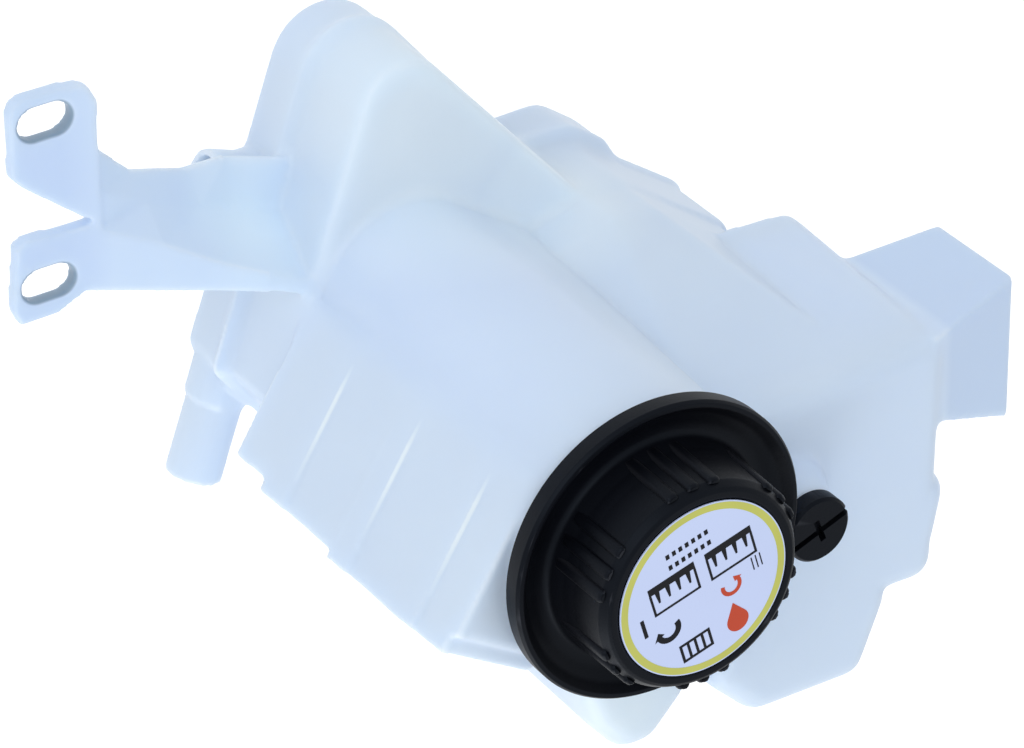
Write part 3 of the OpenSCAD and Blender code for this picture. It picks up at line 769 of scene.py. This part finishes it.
class TANK_OT_cap(bpy.types.Operator):
    """Screw cap with skirt, dish, ribbed grip and top rim"""

    bl_idname = "tank.cap"
    bl_label = "Screw cap"

    def execute(self, context):
        settings = context.scene.tank_cap
        black = black_plastic(settings)
        dress("cap_shell", black)
        r = SKIRT_R / MM
        grip = settings.grip_radius / MM
        disc = settings.disc_radius / MM + DISC_GAP
        # Half section of the cap as radius and height: hollow, skirt, dish, grip, top rim and disc's recess.
        profile = [
            (0, 19.4), (28, 19.4), (28, -2.9),
            (r - 2.6, -3.9), (r - 0.6, -3), (r, -2.4), (r, 2.1), (r - 0.7, 3), (r - 1.9, 3),
            (r - 4.2, 0.6), (r - 8, -1.0),
            (grip + 1.8, -0.9), (grip + 0.5, 4.6), (grip + 0.1, 8.6), (grip - 0.2, 19.6),
            (grip - 1.6, 21.7), (grip - 2.6, 22.2),
            (disc + 0.6, 22.2), (disc, 21.9), (disc, 21.6), (0, 21.6)]
        # Radius of each rounded corner, by its place in the profile.
        marks = {
            2: 0.5, 4: 0.6, 5: 0.6, 6: 0.5, 7: 0.35, 8: 0.35, 9: 4.0, 10: 6.0,
            11: 2.2, 12: 6.0, 13: 2.0, 14: 1.4, 15: 1.2, 16: 0.8, 17: 0.25}
        bm = turned(rounded(profile, marks), 144)
        for turn in RIB_TURNS:
            self.add_rib(bm, settings, Matrix.Rotation(math.radians(turn), 3, "Z"))
        cap = add_piece("cap_moulding", bm, "cap_grip", black, 35)
        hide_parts("cap_shell")
        return {"FINISHED"}

    @staticmethod
    def add_rib(bm, settings, turn):
        """Adds one round-edged rib that leans in towards its top."""
        low, high = RIB_SPAN
        waist = SKIRT_Z + RIB_WAIST * MM
        middle = settings.grip_radius + settings.rib_height - RIB_DEPTH * MM / 2 - RIB_INSET * MM
        made = bmesh.ops.create_cube(bm, size=1)["verts"]
        bmesh.ops.scale(bm, vec=(RIB_DEPTH * MM, settings.rib_width, (high - low) * MM), verts=made)
        bmesh.ops.translate(bm, vec=(middle, 0, SKIRT_Z + (low + high) / 2 * MM), verts=made)
        for v in made:
            if v.co.z > waist and v.co.x > middle:
                v.co.x -= RIB_LEAN * MM
        edges = {
            e for v in made for e in v.link_edges
            if all(w.co.x > middle for w in e.verts) or all(w.co.z > waist for w in e.verts)}
        bevelled = bmesh.ops.bevel(
            bm, geom=list(edges), offset=RIB_ROUND * MM, offset_type="OFFSET", segments=5, profile=0.5,
            affect="EDGES", material=-1)
        whole = list(set(bevelled["verts"]) | {v for v in made if v.is_valid})
        bmesh.ops.rotate(bm, cent=(0, 0, 0), matrix=turn, verts=whole)
        bmesh.ops.translate(bm, vec=NECK, verts=whole)


class TANK_OT_disc(bpy.types.Operator):
    """Printed disc of the cap with its yellow ring and plain marks"""

    bl_idname = "tank.disc"
    bl_label = "Printed disc"

    def execute(self, context):
        settings = context.scene.tank_cap
        radius = settings.disc_radius
        paper = printed_disc(settings)
        dress("cap_label", paper)
        top = LABEL_HIGH.z - FILM
        bm = bmesh.new()
        bmesh.ops.create_circle(bm, cap_ends=True, segments=128, radius=radius)
        faces = bmesh.ops.extrude_face_region(bm, geom=list(bm.faces))
        lifted = [v for v in faces["geom"] if isinstance(v, bmesh.types.BMVert)]
        bmesh.ops.translate(bm, vec=(0, 0, top - LABEL_LOW.z), verts=lifted)
        bmesh.ops.translate(bm, vec=(NECK.x, NECK.y, LABEL_LOW.z), verts=bm.verts)
        disc = add_piece("disc_film", bm, "cap_grip", paper, 30)
        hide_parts("cap_label")

        ring = bmesh.new()
        for edge in (radius - RING_INSET, radius - RING_INSET - settings.ring_width):
            bmesh.ops.create_circle(ring, cap_ends=False, segments=128, radius=edge)
        bmesh.ops.bridge_loops(ring, edges=list(ring.edges))
        self.raise_print(ring, top)
        yellow = printed_ink("yellow_ink", settings.yellow)
        add_piece("disc_ring", ring, "cap_grip", yellow, 30)

        black = printed_ink("black_ink", (0.004, 0.004, 0.007))
        red = printed_ink("red_ink", (0.55, 0.07, 0.03))
        prints = (("disc_marks", self.black_marks(), black), ("disc_red", self.red_marks(), red))
        for name, shapes, ink in prints:
            marks = bmesh.new()
            for outline in shapes:
                marks.faces.new([marks.verts.new((u * MM, v * MM, 0)) for u, v in outline])
            turn = Matrix.Rotation(PRINT_TURN, 3, "Z")
            bmesh.ops.rotate(marks, cent=(0, 0, 0), matrix=turn, verts=marks.verts)
            self.raise_print(marks, top)
            add_piece(name, marks, "cap_grip", ink, 30)
        return {"FINISHED"}

    @staticmethod
    def raise_print(bm, low):
        """Gives a flat print its thickness and puts it on the disc."""
        made = bmesh.ops.extrude_face_region(bm, geom=list(bm.faces))
        lifted = [v for v in made["geom"] if isinstance(v, bmesh.types.BMVert)]
        bmesh.ops.translate(bm, vec=(0, 0, INK), verts=lifted)
        bmesh.ops.translate(bm, vec=(NECK.x, NECK.y, low), verts=bm.verts)

    @staticmethod
    def black_marks():
        """Outlines of two combs, two turning arrows, a ladder and two rows of dashes, in millimetres."""
        out = []
        for u, v in ((-10.0, -5.2), (7.7, -5.4)):
            out.append(box(u, v - 3.6, 14.4, 2.2))
            out += [box(u + side * 6.9, v + 0.7, 0.7, 6.4) for side in (-1, 1)]
            out += [wedge(u - 4.8 + 3.2 * k, v - 2.5, 1.4, 3.6) for k in range(4)]
            out.append(box(u, v + 4.2, 14.5, 0.7))
        out += arc_arrow(12.6, 5.4, 3.1, 1.7, 200, 20)
        out += [box(6.4, 15.6 + side * 2.6, 9.6, 0.8) for side in (-1, 1)]
        out += [box(6.4 + 2.2 * k, 15.6, 0.8, 4.4) for k in (-2, -1, 0, 1, 2)]
        out += [box(0.9 + 2.0 * k, row, 1.1, 1.5) for k in range(-3, 4) for row in (-16.2, -12.6)]
        out += [box(-17.6 + 1.3 * k, 2.2, 0.35, 4.2) for k in range(3)]
        out.append(box(18.8, 0.6, 1.1, 6.0))
        return out

    @staticmethod
    def red_marks():
        """Outlines of the red drop and the red turning arrow, in millimetres."""
        round_part = [(-6.6 + 3.3 * math.cos(a), 16.2 + 3.3 * math.sin(a)) for a in steps_of(-35, 215, 24)]
        return [round_part + [(-6.6, 10.0)], *arc_arrow(-7.6, 4.4, 2.6, 1.2, -20, 200)]


def steps_of(start, end, count):
    """Even steps between two angles, given in degrees, as radians."""
    return [math.radians(start + (end - start) * k / count) for k in range(count + 1)]


def box(u, v, wide, tall):
    """Outline of an upright rectangle about its middle."""
    left, right = u - wide / 2, u + wide / 2
    low, high = v - tall / 2, v + tall / 2
    return [(left, low), (right, low), (right, high), (left, high)]


def wedge(u, v, wide, tall):
    """Outline of a tooth that narrows from its root."""
    return [(u - wide / 2, v), (u + wide / 2, v), (u + wide / 5, v + tall), (u - wide / 5, v + tall)]


def arc_arrow(u, v, radius, width, start, end):
    """Outlines of a turning arrow: an arc and its head."""
    ring = [
        (u + r * math.cos(a), v + r * math.sin(a))
        for r, way in ((radius + width / 2, 1), (radius - width / 2, -1))
        for a in steps_of(start, end, 14)[::way]]
    base = math.radians(end)
    tip = math.radians(end + (end - start) / 5)
    corners = ((radius - width, base), (radius + width, base), (radius, tip))
    return [ring, [(u + r * math.cos(a), v + r * math.sin(a)) for r, a in corners]]


class TANK_OT_small_parts(bpy.types.Operator):
    """Finishes of the valve, its seals and springs, and the vent plug"""

    bl_idname = "tank.small_parts"
    bl_label = "Valve and plug"

    def execute(self, context):
        settings = context.scene.tank_cap
        black = black_plastic(settings)
        rubber = seal_rubber()
        steel = drawn_metal("spring_steel", (0.5, 0.51, 0.53), (0.66, 0.67, 0.69))
        brass = drawn_metal("valve_brass", (0.6, 0.45, 0.2), (0.75, 0.58, 0.28))
        for node in ("valve_housing", "housing_cover", "pressure_plunger", "plug_body"):
            dress(node, black)
        for node in ("housing_seal", "pressure_seal", "plug_seal"):
            dress(node, rubber)
        for node in ("pressure_spring", "vacuum_washer", "vacuum_spring"):
            dress(node, steel)
        dress("vacuum_stem", brass)
        for node, joint, body, held_end, stroke in SPRINGS:
            bm = bmesh.new()
            bm.from_mesh(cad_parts[node].data)
            bmesh.ops.remove_doubles(bm, verts=bm.verts, dist=1e-6)
            coil = add_piece(node + "_coil", bm, body, steel, 50)
            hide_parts(node)
            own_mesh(coil)
        for node in ("plug_body", "valve_housing"):
            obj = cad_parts[node]
            weld = obj.modifiers.new("weld", "WELD")
            weld.merge_threshold = 1e-6
            bevel = obj.modifiers.new("soft edges", "BEVEL")
            bevel.width = SOFT_EDGE
            bevel.segments = 3
            bevel.limit_method = "ANGLE"
            bevel.angle_limit = math.radians(40)
            bevel.harden_normals = True
        return {"FINISHED"}


class TANK_OT_stage(bpy.types.Operator):
    """Pale floor, soft light and the camera"""

    bl_idname = "tank.stage"
    bl_label = "Stage"

    def execute(self, context):
        settings = context.scene.tank_stage
        scene = context.scene
        scene.view_settings.view_transform = "Standard"
        self.floor(settings)
        self.sky(scene, settings)
        self.lamp("key lamp", *KEY_LAMP, settings.key)
        self.lamp("side lamp", *SIDE_LAMP, settings.side)
        camera = bpy.data.cameras.new("photograph camera")
        camera.lens = LENS
        camera.sensor_width = SENSOR
        camera.clip_start = 0.05
        camera.clip_end = 50
        holder = bpy.data.objects.new("photograph camera", camera)
        scene.collection.objects.link(holder)
        turn = Matrix((CAMERA_RIGHT, CAMERA_UP, CAMERA_BACK)).transposed()
        holder.matrix_world = Matrix.Translation(CAMERA_AT) @ turn.to_4x4()
        scene.camera = holder
        return {"FINISHED"}

    @staticmethod
    def floor(settings):
        """A wide pale floor under the tank that keeps its shadow."""
        bm = bmesh.new()
        bmesh.ops.create_grid(bm, x_segments=8, y_segments=8, size=FLOOR_REACH)
        bmesh.ops.translate(bm, vec=(*FLOOR_AT, TANK_LOW.z - settings.floor_drop), verts=bm.verts)
        mesh = bpy.data.meshes.new("floor")
        bm.to_mesh(mesh)
        bm.free()
        obj = bpy.data.objects.new("floor", mesh)
        bpy.context.scene.collection.objects.link(obj)
        material, nodes, links, shader = new_material("pale_floor")
        shader.inputs["Base Color"].default_value = (0.85, 0.85, 0.85, 1)
        shader.inputs["Roughness"].default_value = 0.9
        shader.inputs["Specular IOR Level"].default_value = 0.1
        path = nodes.new("ShaderNodeLightPath")
        seen = path.outputs["Is Camera Ray"]
        for ray in ("Is Glossy Ray", "Is Transmission Ray"):
            seen = math_node(nodes, links, "ADD", seen, path.outputs[ray])
            seen.node.use_clamp = True
        glow = nodes.new("ShaderNodeEmission")
        links.new(math_node(nodes, links, "MULTIPLY", seen, FLOOR_GLOW), glow.inputs["Strength"])
        both = nodes.new("ShaderNodeAddShader")
        links.new(shader.outputs["BSDF"], both.inputs[0])
        links.new(glow.outputs["Emission"], both.inputs[1])
        out = [n for n in nodes if n.type == "OUTPUT_MATERIAL"][0]
        links.new(both.outputs["Shader"], out.inputs["Surface"])
        mesh.materials.append(material)

    @staticmethod
    def sky(scene, settings):
        """An even pale sky."""
        world = bpy.data.worlds.new("even sky")
        world.use_nodes = True
        background = world.node_tree.nodes["Background"]
        background.inputs["Color"].default_value = (0.96, 0.98, 1.0, 1)
        background.inputs["Strength"].default_value = settings.sky
        scene.world = world

    @staticmethod
    def lamp(name, offset, size, power):
        """A large soft lamp aimed at the middle of the tank."""
        centre = (TANK_LOW + TANK_HIGH) / 2
        light = bpy.data.lights.new(name, "AREA")
        light.shape = "DISK"
        light.size = size
        light.energy = power
        holder = bpy.data.objects.new(name, light)
        bpy.context.scene.collection.objects.link(holder)
        holder.location = centre + offset
        holder.rotation_mode = "QUATERNION"
        holder.rotation_quaternion = offset.to_track_quat("Z", "Y")


class TANK_PT_panel(bpy.types.Panel):
    """Lists the tank's operators"""

    bl_idname = "TANK_PT_panel"
    bl_label = "Expansion tank"
    bl_space_type = "VIEW_3D"
    bl_region_type = "UI"
    bl_category = "Tank"

    def draw(self, context):
        for operator in OPERATORS:
            self.layout.operator(operator.bl_idname)


OPERATORS = (TANK_OT_shells, TANK_OT_thread, TANK_OT_cap, TANK_OT_disc, TANK_OT_small_parts, TANK_OT_stage)
CLASSES = (TankShellSettings, CapSettings, StageSettings, *OPERATORS, TANK_PT_panel)


def register():
    for cls in CLASSES:
        bpy.utils.register_class(cls)
    bpy.types.Scene.tank_shells = bpy.props.PointerProperty(type=TankShellSettings)
    bpy.types.Scene.tank_cap = bpy.props.PointerProperty(type=CapSettings)
    bpy.types.Scene.tank_stage = bpy.props.PointerProperty(type=StageSettings)


def unregister():
    del bpy.types.Scene.tank_stage
    del bpy.types.Scene.tank_cap
    del bpy.types.Scene.tank_shells
    for cls in reversed(CLASSES):
        bpy.utils.unregister_class(cls)


def main():
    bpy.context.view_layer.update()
    register()
    bpy.ops.tank.shells()
    bpy.ops.tank.thread()
    bpy.ops.tank.cap()
    bpy.ops.tank.disc()
    bpy.ops.tank.small_parts()
    bpy.ops.tank.stage()


if __name__ == "__main__":
    main()
